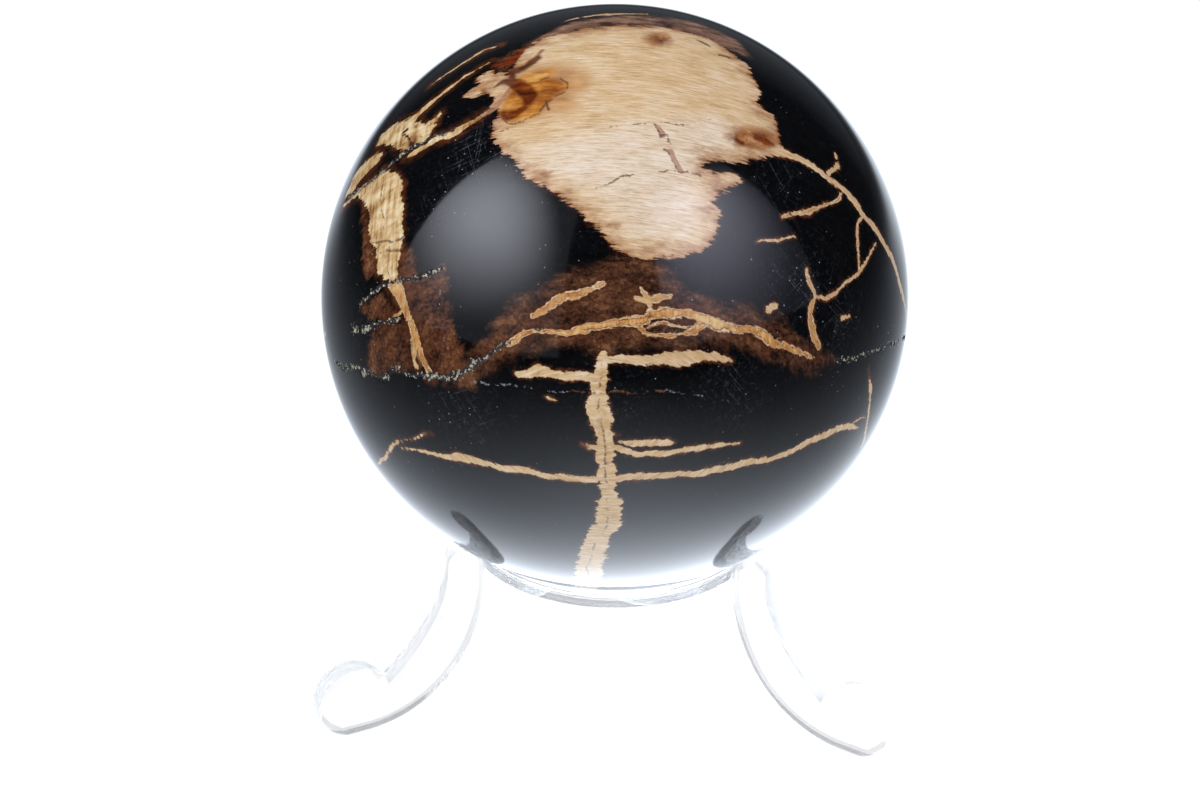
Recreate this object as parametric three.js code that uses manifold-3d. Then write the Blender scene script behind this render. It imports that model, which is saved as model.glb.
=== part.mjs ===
// A polished ball of petrified wood in its clear moulded cradle: a ring on three scrolled legs.
// Millimetres, +Z up. The origin is on the surface it stands on, in the middle of the whole
// object's footprint box. One leg points to +Y, at the back, and two stand at the front.

import * as THREE from "three";
import { mergeVertices } from "three/addons/utils/BufferGeometryUtils.js";
import Module from "manifold-3d";

// The ball, ground from one piece of stone.
const BALL_DIAMETER = 56;

// The ring that the ball sits in. Its seat is a cone that touches the ball half way across.
const RING_OUTER_DIAMETER = 29;
const RING_WALL = 2.4;
const RING_DEPTH = 1.6;
const RING_UNDERSIDE_HEIGHT = 15.3;
const RING_EDGE = 0.4;
const SEAT_GAP = 0.3;

// The legs, flat bars that swing out to a round toe. Depth is measured outwards from the axis.
const LEG_COUNT = 3;
const LEG_WIDTH = 2.8;
const LEG_DEPTH = 4;
const LEG_RISE = 1.3;
const LEG_EDGE = 0.45;
const LEG_SEAT_DROP = 0.05;
const TOE_DIAMETER = 7.8;
const TOE_REACH = 32.4;
const SOLE_LENGTH = 1.8;

// How round things are drawn.
const BALL_FACET_ROWS = 13;
const RING_FACETS = 96;
const CURVE_STEPS = 12;
const TOE_STEPS = 24;
const EDGE_STEPS = 2;

const ballRadius = BALL_DIAMETER / 2;
const ringOuterRadius = RING_OUTER_DIAMETER / 2;
const ringInnerRadius = ringOuterRadius - RING_WALL;
const ringTopHeight = RING_UNDERSIDE_HEIGHT + RING_DEPTH;

// The seat's slope is the ball's own slope at the middle of the ring's wall.
const seatRadius = ringOuterRadius - RING_WALL / 2;
const ballRise = Math.sqrt((ballRadius + SEAT_GAP) ** 2 - seatRadius ** 2);
const seatSlope = seatRadius / ballRise;
const seatHeightAt = (radius) => ringTopHeight + (radius - ringOuterRadius) * seatSlope;
const ballCentreHeight = seatHeightAt(seatRadius) + ballRise;

const wasm = await Module();
wasm.setup();

// A closed three.js geometry as a solid that can be joined.
function solidFrom(geometry) {
  const bare = geometry.clone();
  for (const name of ["normal", "uv"]) bare.deleteAttribute(name);
  const merged = mergeVertices(bare, 1e-4);
  return new wasm.Manifold(
    new wasm.Mesh({
      numProp: 3,
      vertProperties: merged.attributes.position.array,
      triVerts: new Uint32Array(merged.index.array),
    }),
  );
}

// A joined solid as a three.js geometry.
function geometryFrom(solid) {
  const mesh = solid.getMesh();
  const geometry = new THREE.BufferGeometry();
  geometry.setAttribute("position", new THREE.BufferAttribute(mesh.vertProperties, 3));
  geometry.setIndex(new THREE.BufferAttribute(mesh.triVerts, 1));
  geometry.computeVertexNormals();
  return geometry;
}

// The ring: a low band, chamfered below, with the ball's seat turned into its top.
function ringSolid() {
  const profile = [
    [ringInnerRadius, seatHeightAt(ringInnerRadius)],
    [ringInnerRadius, RING_UNDERSIDE_HEIGHT],
    [ringOuterRadius - RING_EDGE, RING_UNDERSIDE_HEIGHT],
    [ringOuterRadius, RING_UNDERSIDE_HEIGHT + RING_EDGE],
    [ringOuterRadius, ringTopHeight],
  ].map(([radius, height]) => new THREE.Vector2(radius, height));
  profile.push(profile[0].clone());
  const ring = new THREE.LatheGeometry(profile, RING_FACETS);
  ring.rotateX(Math.PI / 2);
  return solidFrom(ring);
}

// A leg's side view. x runs outwards from the axis and y runs up.
function legShape() {
  const innerRadius = ringOuterRadius - LEG_EDGE;
  const outerRadius = ringOuterRadius + LEG_DEPTH;
  const topHeight = ringTopHeight + LEG_RISE;
  const seatAt = (radius) => seatHeightAt(radius) - LEG_SEAT_DROP;
  const topInnerRadius = ringOuterRadius + (LEG_RISE + LEG_SEAT_DROP) / seatSlope;

  const toeRadius = TOE_DIAMETER / 2;
  const toeX = TOE_REACH - toeRadius;
  const soleHalf = SOLE_LENGTH / 2;
  const soleAngle = Math.asin(soleHalf / toeRadius);
  const toeY = toeRadius * Math.cos(soleAngle);
  const neckAngle = THREE.MathUtils.degToRad(156);
  const neckX = toeX + toeRadius * Math.cos(neckAngle);
  const neckY = toeY + toeRadius * Math.sin(neckAngle);
  const spread = toeX - innerRadius;

  const shape = new THREE.Shape();
  shape.moveTo(innerRadius, seatAt(innerRadius));
  const underside = new THREE.CubicBezierCurve(
    new THREE.Vector2(innerRadius, RING_UNDERSIDE_HEIGHT),
    new THREE.Vector2(innerRadius, RING_UNDERSIDE_HEIGHT * 0.46),
    new THREE.Vector2(innerRadius + spread * 0.37, 0),
    new THREE.Vector2(toeX - soleHalf, 0),
  );
  for (const point of underside.getPoints(CURVE_STEPS)) shape.lineTo(point.x, point.y);
  shape.lineTo(toeX + soleHalf, 0);
  const toe = new THREE.EllipseCurve(
    toeX, toeY, toeRadius, toeRadius, soleAngle - Math.PI / 2, neckAngle,
  );
  for (const point of toe.getPoints(TOE_STEPS).slice(1)) shape.lineTo(point.x, point.y);
  const back = new THREE.CubicBezierCurve(
    new THREE.Vector2(neckX, neckY),
    new THREE.Vector2(outerRadius + LEG_DEPTH * 0.3, topHeight * 0.56),
    new THREE.Vector2(outerRadius, topHeight * 0.74),
    new THREE.Vector2(outerRadius, topHeight),
  );
  for (const point of back.getPoints(CURVE_STEPS).slice(1)) shape.lineTo(point.x, point.y);
  shape.lineTo(Math.min(topInnerRadius, outerRadius - LEG_EDGE), topHeight);
  return shape;
}

// One leg, its edges rounded over, turned to its place round the ring.
function legSolid(turn) {
  const leg = new THREE.ExtrudeGeometry(legShape(), {
    depth: LEG_WIDTH - 2 * LEG_EDGE,
    bevelThickness: LEG_EDGE,
    bevelSize: LEG_EDGE,
    bevelOffset: -LEG_EDGE,
    bevelSegments: EDGE_STEPS,
    steps: 1,
  });
  leg.translate(0, 0, LEG_EDGE - LEG_WIDTH / 2);
  leg.rotateX(Math.PI / 2);
  leg.rotateZ(turn);
  return solidFrom(leg);
}

function makeStand() {
  let stand = ringSolid();
  for (let leg = 0; leg < LEG_COUNT; leg += 1) {
    stand = stand.add(legSolid(Math.PI / 2 + (leg * 2 * Math.PI) / LEG_COUNT));
  }
  const acrylic = new THREE.MeshStandardMaterial({
    color: 0xf2f6f8,
    roughness: 0.04,
    metalness: 0,
    transparent: true,
    opacity: 0.3,
  });
  const mesh = new THREE.Mesh(geometryFrom(stand), acrylic);
  mesh.name = "clear_stand";
  return mesh;
}

function makeBall() {
  const petrifiedWood = new THREE.MeshStandardMaterial({
    color: 0x17130f,
    roughness: 0.14,
    metalness: 0,
  });
  const mesh = new THREE.Mesh(
    new THREE.IcosahedronGeometry(ballRadius, BALL_FACET_ROWS),
    petrifiedWood,
  );
  mesh.name = "stone_ball";
  mesh.position.z = ballCentreHeight;
  return mesh;
}

const object = new THREE.Group();
object.add(makeBall(), makeStand());

// The origin goes to the middle of the footprint's box, on the surface underneath.
const box = new THREE.Box3().setFromObject(object);
const middle = box.getCenter(new THREE.Vector3());
object.position.set(-middle.x, -middle.y, -box.min.z);

export default object;
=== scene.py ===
"""A polished ball of petrified wood resting in its clear moulded cradle, in a white studio."""

import math

import bmesh
import bpy
import numpy as np
from mathutils import Euler, Matrix, Vector, geometry, noise


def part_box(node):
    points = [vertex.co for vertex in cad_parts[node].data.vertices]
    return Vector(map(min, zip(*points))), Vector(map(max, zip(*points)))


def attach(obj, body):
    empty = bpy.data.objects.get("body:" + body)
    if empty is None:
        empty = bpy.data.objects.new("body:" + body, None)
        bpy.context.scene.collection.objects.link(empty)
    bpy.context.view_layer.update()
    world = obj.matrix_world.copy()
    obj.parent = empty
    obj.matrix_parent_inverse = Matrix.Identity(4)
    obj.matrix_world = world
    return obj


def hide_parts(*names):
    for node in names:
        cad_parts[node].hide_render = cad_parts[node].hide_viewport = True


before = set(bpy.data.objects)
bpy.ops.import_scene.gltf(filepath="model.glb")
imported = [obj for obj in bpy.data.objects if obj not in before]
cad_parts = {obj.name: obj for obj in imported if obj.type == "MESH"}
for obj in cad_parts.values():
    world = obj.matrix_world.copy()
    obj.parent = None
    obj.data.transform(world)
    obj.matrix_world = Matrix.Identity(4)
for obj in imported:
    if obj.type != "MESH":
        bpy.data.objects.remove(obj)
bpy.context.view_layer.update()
MM = 0.001


# The camera stands in front and a little to the right of the part, looking down at it through a
# long lens. The stone's pattern is placed through it, so it comes before the ball.

ball_low, ball_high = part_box("stone_ball")
ball_centre = (ball_low + ball_high) / 2
ball_radius = (ball_high.x - ball_low.x) / 2

PHOTO_WIDTH, PHOTO_HEIGHT = 1200, 804
LENS, SENSOR = 100.0, 36.0
CAMERA_AZIMUTH, CAMERA_PITCH = math.radians(4.33), math.radians(28.24)
CAMERA_DISTANCE = 324.49 * MM
AIM_ASIDE, AIM_HEIGHT = -1.414 * MM, 29.943 * MM

camera_turn = Euler((math.pi / 2 - CAMERA_PITCH, 0, CAMERA_AZIMUTH)).to_matrix()
aim = Vector((ball_centre.x, ball_centre.y, AIM_HEIGHT)) + camera_turn @ Vector((AIM_ASIDE, 0, 0))
camera = bpy.data.objects.new("camera", bpy.data.cameras.new("camera"))
camera.data.lens = LENS
camera.data.sensor_width = SENSOR
camera.data.clip_start = 0.01
camera.location = aim + camera_turn @ Vector((0, 0, CAMERA_DISTANCE))
camera.rotation_euler = camera_turn.to_euler()
bpy.context.collection.objects.link(camera)
bpy.context.scene.camera = camera


# The ball. One piece of fossil wood, black with cream and brown where the wood was replaced by
# lighter silica, ground round and polished to a mirror. It lies loose in the ring of the stand.


def on_ball(across, down):
    """The place on the ball, in mm from its centre, that shows at a pixel of the photograph."""
    focal = LENS / SENSOR * PHOTO_WIDTH
    sight = Vector(((across - PHOTO_WIDTH / 2) / focal, (PHOTO_HEIGHT / 2 - down) / focal, -1))
    sight = (camera_turn @ sight).normalized()
    start = camera.location - ball_centre
    nearest = -start.dot(sight)
    depth = max(0.0, ball_radius**2 - (start.length_squared - nearest**2)) ** 0.5
    place = start + sight * (nearest - depth)
    return np.array(place.normalized() * ball_radius) / MM


# Veins seen from the front. Each is a list of places, as pixels across and down in the
# photograph with the vein's width there. Then come how ragged its edges are, in mm, and how
# rusty its middle is.
PIXEL = 1 / 11.2
VEINS = [
    # The upright one in the middle, with its short side shoots.
    ([(603, 357, 9), (602, 365, 15), (600, 378, 16), (599, 391, 14), (598, 405, 20),
      (601, 422, 20), (604, 436, 17), (605, 446, 21), (607, 457, 14), (607, 468, 13),
      (606, 480, 19), (606, 490, 15), (610, 503, 23), (610, 519, 27), (602, 532, 22),
      (594, 548, 24), (589, 563, 26), (586, 580, 28), (584, 596, 24)], 0.42, 0.0),
    ([(596, 377, 9), (570, 375, 9), (541, 372, 9), (517, 373, 7)], 0.12, 0.0),
    ([(549, 369, 6), (538, 366, 6), (529, 369, 4)], 0.10, 0.0),
    ([(606, 362, 7), (640, 359, 10), (670, 359, 12), (697, 356, 13), (716, 357, 10),
      (731, 360, 4)], 0.22, 0.1),
    ([(583, 443, 4), (590, 445, 7), (604, 447, 9)], 0.10, 0.0),
    ([(611, 448, 7), (640, 454, 7), (679, 451, 7), (711, 447, 6), (738, 443, 3)], 0.10, 0.0),
    ([(620, 443, 3), (632, 443, 7), (650, 442, 8), (666, 442, 7), (675, 442, 3)], 0.06, 0.0),
    ([(608, 434, 8), (616, 435, 4), (622, 435, 1)], 0.10, 0.0),
    # The long one low on the ball, and what lies beside it.
    ([(402, 448, 2), (420, 452, 4), (439, 455, 4), (456, 456, 11), (473, 461, 9),
      (502, 467, 8), (527, 471, 9), (550, 476, 7), (574, 478, 7), (597, 479, 7),
      (620, 477, 8), (659, 476, 8), (689, 474, 9), (728, 467, 8), (754, 461, 7),
      (778, 457, 7), (798, 448, 8), (817, 438, 9), (837, 430, 10), (852, 426, 6),
      (858, 428, 2)], 0.13, 0.0),
    ([(851, 424, 1), (860, 419, 2), (867, 417, 1)], 0.05, 0.3),
    ([(869, 368, 2), (870, 388, 5), (869, 408, 5), (867, 426, 5), (864, 440, 4),
      (859, 452, 1)], 0.08, 0.1),
    ([(377, 463, 2), (385, 459, 5), (389, 450, 4), (400, 442, 5), (416, 438, 4),
      (431, 434, 3)], 0.10, 0.0),
    # The rust-cored one that arches across the brown, split in two for a way.
    ([(508, 345, 5), (521, 336, 6), (533, 331, 7), (550, 332, 7), (567, 333, 7),
      (584, 328, 9), (603, 326, 9), (620, 322, 9), (640, 319, 9), (659, 314, 9),
      (683, 312, 8), (701, 318, 10), (715, 323, 10), (734, 331, 8), (750, 330, 8),
      (764, 335, 8), (778, 343, 8), (790, 348, 9), (802, 354, 6), (818, 359, 3)], 0.24, 1.0),
    ([(636, 322, 5), (646, 331, 6), (657, 335, 5), (673, 336, 6), (690, 333, 7),
      (703, 325, 6)], 0.22, 1.0),
    ([(648, 326, 3), (664, 322, 4), (680, 326, 3), (694, 328, 3)], 0.12, 1.0),
    ([(533, 316, 5), (541, 311, 8), (550, 306, 9), (561, 299, 10), (578, 296, 8),
      (592, 288, 7), (604, 282, 4)], 0.14, 0.8),
    ([(638, 297, 4), (648, 299, 7), (658, 297, 8), (669, 297, 4)], 0.14, 0.5),
    ([(642, 286, 3), (647, 293, 5), (649, 302, 5), (649, 311, 4)], 0.10, 0.5),
    # The one that leaves the cream patch and runs down the right side, with its branches.
    ([(766, 150, 12), (782, 151, 11), (798, 157, 7), (816, 168, 6), (833, 182, 7),
      (849, 196, 9), (856, 204, 9), (862, 214, 7), (873, 226, 8), (883, 241, 8),
      (892, 258, 7), (898, 277, 6), (903, 297, 6), (906, 316, 4)], 0.14, 0.1),
    ([(842, 193, 3), (838, 201, 4), (817, 209, 5), (798, 213, 6), (782, 217, 5)], 0.12, 0.7),
    ([(863, 215, 4), (859, 225, 4), (857, 243, 4), (858, 259, 4), (859, 270, 3)], 0.06, 0.45),
    ([(876, 244, 3), (871, 253, 4), (859, 272, 5), (845, 282, 4), (833, 294, 4), (826, 299, 4),
      (816, 295, 5), (812, 286, 5), (808, 271, 4)], 0.08, 0.45),
    ([(815, 295, 4), (811, 308, 7), (811, 322, 7), (814, 334, 8), (820, 346, 7)], 0.10, 0.8),
    ([(756, 243, 1), (770, 241, 3), (782, 238, 3), (795, 237, 2)], 0.06, 0.4),
    ([(835, 154, 3), (836, 158, 5)], 0.10, 0.2),
    ([(828, 172, 6), (838, 166, 7)], 0.20, 0.2),
    ([(770, 311, 7), (776, 307, 5)], 0.20, 0.2),
    ([(843, 318, 6), (849, 317, 6)], 0.20, 0.2),
    ([(546, 395, 1), (552, 398, 4), (559, 400, 1)], 0.05, 0.0),
    ([(562, 22, 2), (585, 17, 4), (612, 14, 5), (646, 14, 3)], 0.05, 0.3),
]
# The golden ones at the left, broken and shifted along a crack, in wide brown margins.
LEFT_VEINS = [
    ([(394, 284, 16), (398, 292, 15), (402, 300, 12), (406, 309, 10), (409, 318, 8)], 0.16, 0.6),
    ([(411, 324, 9), (415, 336, 11), (419, 350, 9), (423, 360, 7), (428, 370, 7),
      (431, 376, 7)], 0.12, 0.8),
    ([(411, 332, 5), (413, 345, 6), (415, 358, 5), (417, 367, 3)], 0.10, 0.1),
    ([(405, 309, 4), (400, 314, 4), (391, 320, 3), (384, 323, 1)], 0.08, 0.3),
    ([(343, 207, 3), (350, 200, 6), (358, 192, 6), (364, 186, 5)], 0.10, 0.1),
    ([(412, 122, 10), (420, 113, 9), (430, 104, 7), (440, 95, 6), (448, 89, 5), (460, 80, 4),
      (474, 71, 3), (490, 62, 2)], 0.10, 0.1),
    ([(406, 158, 3), (414, 153, 8), (424, 147, 8), (434, 141, 7), (446, 136, 7), (456, 131, 8),
      (468, 124, 7), (478, 118, 6), (485, 113, 4)], 0.12, 0.1),
    ([(430, 86, 1), (445, 75, 3), (458, 66, 4), (470, 59, 4), (485, 50, 4),
      (500, 45, 2)], 0.06, 0.4),
]
LEFT_PIECES = [
    [(357, 191), (366, 183), (376, 176), (386, 169), (393, 171), (399, 178), (402, 188),
     (401, 200), (403, 214), (402, 228), (403, 238), (401, 246), (400, 256), (398, 266),
     (396, 277), (386, 279), (378, 272), (378, 262), (376, 250), (371, 242), (370, 228),
     (369, 212), (366, 202), (360, 196)],
    [(376, 146), (381, 136), (391, 127), (404, 120), (415, 116), (412, 124), (404, 131),
     (400, 141), (388, 144)],
    [(406, 133), (413, 124), (420, 122), (424, 127), (430, 122), (441, 113), (436, 124),
     (429, 134), (422, 142), (416, 147), (410, 141)],
    [(346, 197), (352, 180), (360, 168), (370, 158), (379, 152), (384, 154), (378, 163),
     (370, 171), (362, 179), (354, 190)],
    [(393, 144), (402, 136), (408, 140), (413, 147), (406, 150), (398, 150)],
]

# The cream patch, its amber eye, and the brown places, as outlines in the same pixels.
CREAM_PATCH = [
    (514, 66), (521, 56), (527, 49), (535, 43), (546, 38), (582, 29), (615, 25), (647, 26),
    (681, 30), (706, 37), (725, 48),
    (745, 63), (758, 86), (756, 101), (771, 115), (780, 133), (785, 147), (771, 156),
    (748, 161), (722, 163), (697, 165), (713, 173), (738, 177), (741, 184), (725, 194),
    (711, 203), (720, 212), (719, 226), (713, 239), (697, 252), (670, 257), (635, 257),
    (610, 246), (601, 230), (587, 218), (569, 205), (553, 193), (541, 184), (527, 178),
    (516, 161), (505, 151), (497, 140), (491, 130), (494, 121), (500, 116), (498, 110),
    (493, 104), (494, 96), (486, 94), (474, 96), (467, 93), (474, 87), (481, 83), (476, 79),
    (484, 75), (490, 71), (496, 74), (501, 70), (508, 73),
]
AMBER_EYE = [
    (520, 78), (535, 71), (548, 69), (554, 72), (549, 78), (560, 79), (567, 83), (567, 89),
    (559, 94), (551, 100), (544, 107), (539, 114), (528, 118), (516, 122), (505, 118),
    (501, 111), (504, 100), (509, 90),
]
AMBER_STAIN = [
    (522, 68), (550, 64), (580, 68), (594, 78), (588, 90), (575, 96), (579, 106), (568, 114),
    (548, 114), (525, 124), (502, 120), (505, 96),
]
BROWN_SMUDGE = [(645, 38), (652, 34), (662, 34), (668, 38), (664, 44), (652, 44)]
BROWN_KNOT = [(729, 137), (738, 131), (752, 129), (766, 131), (774, 139), (769, 147), (752, 148),
              (736, 144)]
BROWN_HALO = [
    (444, 385), (466, 355), (492, 330), (508, 306), (526, 289), (550, 280), (588, 273),
    (606, 256), (640, 257), (662, 267), (688, 293), (735, 306), (775, 319), (800, 344),
    (838, 360), (812, 372), (795, 374), (770, 358), (735, 346), (700, 347), (660, 349),
    (620, 344), (600, 354), (560, 347), (525, 351), (500, 364), (472, 384),
]
BROWN_BLOCKS = [
    [(404, 284), (420, 277), (441, 271), (448, 288), (452, 305), (453, 322), (454, 338),
     (470, 343), (490, 336), (505, 328), (513, 335), (490, 350), (476, 346), (458, 352),
     (462, 364), (446, 375), (436, 375), (427, 360), (421, 342), (414, 322), (408, 300)],
    [(372, 328), (384, 323), (396, 324), (407, 330), (410, 348), (415, 368), (404, 371),
     (392, 369), (384, 377), (374, 374), (366, 368), (368, 352), (371, 340)],
    [(361, 309), (370, 300), (384, 296), (393, 304), (397, 312), (386, 319), (374, 319),
     (365, 314)],
    [(402, 244), (412, 254), (418, 268), (412, 274), (396, 278), (398, 262), (401, 250)],
    [(364, 205), (369, 215), (369, 232), (372, 246), (377, 262), (376, 274), (366, 278),
     (362, 262), (364, 240), (361, 222)],
    [(492, 68), (500, 56), (515, 50), (528, 42), (533, 44), (522, 54), (516, 64), (505, 70)],
    [(597, 330), (606, 330), (608, 358), (598, 358)],
    [(403, 244), (412, 250), (418, 262), (416, 273), (404, 276), (398, 262)],
]
BLUSH = [(524, 50), (545, 34), (575, 23), (610, 17), (650, 16), (700, 24), (735, 40), (752, 60),
         (715, 44), (670, 32), (600, 31), (560, 38)]

# The lower half of the patch is paler and pinker than the upper one: partly the stone's own
# paler cream, partly a painted highlight, light from above mirrored in the polish.
PALE_AND_HIGHLIGHT_OUTLINE = [(520, 150), (560, 140), (607, 128), (653, 122), (713, 121), (735, 130), (728, 155),
              (700, 165), (700, 190), (690, 225), (640, 236), (600, 200), (560, 178)]

# Fine cracks, dark and thin.
CRACKS = [
    [(495, 132), (503, 131), (509, 129)],
    [(607, 128), (625, 124), (637, 123), (653, 122), (665, 122), (680, 124), (690, 123),
     (705, 121), (712, 120)],
    [(595, 188), (608, 184), (620, 178), (640, 173), (650, 171), (662, 172), (690, 172),
     (702, 176)],
    [(653, 122), (661, 136), (667, 135), (671, 143)],
    [(663, 148), (668, 150), (672, 160), (678, 172)],
    [(601, 358), (602, 375), (600, 391), (600, 410), (603, 430), (605, 450), (606, 480)],
    [(607, 498), (608, 512), (607, 524), (598, 540), (590, 556), (586, 574)],
    [(566, 392), (588, 394), (620, 391), (640, 393), (665, 391)],
    [(370, 243, 2), (380, 243, 2), (392, 241, 2), (404, 238, 2)],
    [(380, 253, 2), (390, 250, 2), (404, 247, 2)],
    [(415, 325, 1), (419, 341, 2), (418, 352, 2), (421, 366, 2)],
    [(384, 255), (386, 266), (391, 278)],
    [(384, 182), (381, 200), (384, 220), (382, 238)],
    [(414, 125), (418, 131), (421, 137)],
    [(648, 327), (662, 324), (676, 329), (690, 327)],
    [(655, 332), (668, 330), (680, 333)],
    [(502, 117, 2), (508, 121, 2), (515, 123, 2), (525, 121), (532, 116), (540, 112)],
    [(540, 111, 2), (543, 105, 2), (550, 99, 2)],
    [(556, 95, 2), (564, 92, 3)],
    [(560, 79), (567, 83), (566, 89)],
    [(541, 80, 2), (549, 78, 1)],
    [(699, 41, 4), (704, 43, 5), (709, 46, 3)],
    [(720, 55, 3), (727, 57, 4), (735, 60, 2)],
    [(545, 101, 3), (549, 108, 3)],
]
# Seams filled with tan mineral where a crack stepped aside.
SEAMS = [
    [(654, 123, 3), (659, 129, 6), (664, 135, 6)],
    [(664, 148, 2), (671, 150, 6), (674, 159, 6), (680, 171, 6)],
    [(512, 87, 5), (506, 94, 6), (501, 101, 7), (495, 107, 8), (488, 112, 7), (480, 116, 3)],
]
# Dark red veins in the amber eye and the knot, and a dark streak above the eye.
RED_VEINS = [
    [(494, 87, 2), (502, 82, 8), (510, 81, 12), (517, 84, 16), (524, 89, 17), (529, 96, 15),
     (527, 102, 9), (524, 106, 4)],
    [(525, 107, 5), (517, 112, 9), (509, 114, 12), (503, 113, 8)],
    [(508, 74, 3), (513, 71, 9), (519, 70, 10), (526, 67, 9), (532, 63, 11), (537, 59, 8),
     (539, 55, 2), (542, 51, 1)],
    [(513, 74, 8), (513, 80, 8)],
    [(494, 66, 5), (503, 63, 10), (511, 61, 12), (517, 54, 8), (524, 47, 4)],
    [(757, 138, 4), (766, 141, 9), (772, 144, 4)],
    [(736, 139, 2), (742, 143, 4)],
]
# The weathered crack that runs round the ball, pale crumbs and little pits, with its side arms.
CRUMBLED = [
    [(334, 362, 1), (345, 368, 1.5), (352, 366, 1.5), (358, 366, 2), (363, 372, 5),
     (370, 371, 1.5), (376, 376, 2), (384, 379, 1.5)],
    [(388, 377, 1.5), (393, 371, 1.5), (400, 369, 1.5), (404, 373, 1)],
    [(406, 373, 0.5), (416, 375, 1), (425, 375, 2), (430, 376, 6), (436, 376, 4)],
    [(440, 378, 2), (447, 378, 5), (455, 375, 6), (461, 372, 3), (468, 368, 4), (474, 363, 5),
     (481, 360, 2), (490, 355, 2), (500, 346, 1.5), (509, 343, 1)],
    [(353, 328, 5), (357, 330, 7)],
    [(363, 331, 5), (368, 328, 5), (375, 325, 1.5), (390, 321, 1), (396, 321, 3), (401, 320, 1)],
    [(360, 305, 1), (372, 293, 1), (384, 285, 1.5), (395, 281, 2), (408, 278, 2), (418, 276, 2.5),
     (432, 272, 1), (440, 270, 0.5)],
    [(836, 361, 0.5), (857, 357, 1), (877, 351, 1.5), (893, 343, 1.5), (905, 337, 2)],
    [(345, 202, 0.5), (360, 190, 1), (375, 178, 1.5), (387, 168, 1.5), (398, 158, 1.5),
     (408, 149, 4), (418, 144, 1.5), (430, 139, 1.5), (445, 134, 1.5), (456, 128, 1)],
]
FAINT_CRACKS = [
    [(456, 381, 1), (484, 383, 1.5), (511, 385, 1.2), (540, 388, 1), (566, 392, 0.8)],
    [(665, 391, 1), (689, 394, 1.4), (728, 397, 0.8)],
]

# Where handling has scuffed the polish: a place and a reach in pixels, and how much.
SCUFFS = [
    (480, 152, 34, 1.0), (505, 168, 20, 0.6), (462, 412, 34, 0.9), (430, 320, 26, 0.9),
    (440, 205, 30, 0.5), (800, 285, 42, 0.8), (842, 320, 26, 0.9), (712, 44, 15, 1.0),
    (775, 175, 30, 0.6), (730, 392, 32, 0.8), (690, 300, 34, 0.4), (380, 250, 24, 0.6),
    (880, 348, 22, 0.7), (620, 400, 40, 0.3), (365, 320, 24, 0.5),
]


def as_line(picks):
    """A picked line as places on the ball, each with its half width in mm."""
    return [(on_ball(pick[0], pick[1]), (pick[2] if len(pick) > 2 else 1) * PIXEL / 2)
            for pick in picks]


def as_outline(picks):
    """A picked outline as places on the ball."""
    return np.array([on_ball(*pick) for pick in picks])


def line_depth(places, line):
    """How far each place is inside a line's edge, in mm, negative outside it."""
    depth = np.full(len(places), -1e3)
    for (start, start_half), (end, end_half) in zip(line, line[1:]):
        run = end - start
        share = np.clip((places - start) @ run / (run @ run), 0, 1)
        gap = np.linalg.norm(places - start - share[:, None] * run, axis=1)
        depth = np.maximum(depth, start_half + share * (end_half - start_half) - gap)
    return depth


def outline_depth(places, corners):
    """How far each place is inside a closed outline on the ball, in mm, negative outside it."""
    middle = corners.mean(0)
    middle /= np.linalg.norm(middle)
    aside = np.cross([0, 0, 1], middle)
    aside /= np.linalg.norm(aside)
    upward = np.cross(middle, aside)

    def flat(spots):
        spread = 2 / (1 + spots @ middle / np.linalg.norm(spots, axis=1))
        return np.stack([spots @ aside, spots @ upward], 1) * np.minimum(spread, 20)[:, None]

    spots, ring = flat(places), flat(corners)
    nearest = np.full(len(spots), np.inf)
    inside = np.zeros(len(spots), bool)
    for start, end in zip(ring, np.roll(ring, -1, 0)):
        run = end - start
        share = np.clip((spots - start) @ run / (run @ run), 0, 1)
        nearest = np.minimum(nearest, np.linalg.norm(spots - start - share[:, None] * run, axis=1))
        crosses = (start[1] > spots[:, 1]) != (end[1] > spots[:, 1])
        rise = np.where(abs(run[1]) < 1e-9, 1e-9, run[1])
        inside ^= crosses & (spots[:, 0] < start[0] + (spots[:, 1] - start[1]) * run[0] / rise)
    return np.where(inside, nearest, -nearest)


# The hidden side has wandering veins of the same kind, each walked over the ball in short
# steps, in mm, that turn a little each time, in radians.
WANDER_STEP, WANDER_TURN = 2.6, 0.22
wander = np.random.default_rng(7)


def outwards(turn, height):
    """The direction from the ball's middle at a turn round it and a height above its waist."""
    turn, height = math.radians(turn), math.radians(height)
    return np.array([math.sin(turn) * math.cos(height), -math.cos(turn) * math.cos(height),
                     math.sin(height)])


def wandering_vein(turn, height, heading, steps, width):
    """A vein that sways as it goes and tapers at both ends, as places with half widths."""
    place = outwards(turn, height)
    heading = math.radians(heading)
    line = []
    for step in range(steps):
        taper = math.sin(math.pi * (step + 0.6) / (steps + 0.2)) ** 0.5
        line.append((place * ball_radius / MM, width / 2 * taper * wander.uniform(0.6, 1.2)))
        east = np.cross([0, 0, 1], place)
        east /= np.linalg.norm(east)
        north = np.cross(place, east)
        heading += wander.normal(0, WANDER_TURN)
        place = place + (math.cos(heading) * east + math.sin(heading) * north) * (
            WANDER_STEP * MM / ball_radius)
        place /= np.linalg.norm(place)
    return line


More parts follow.
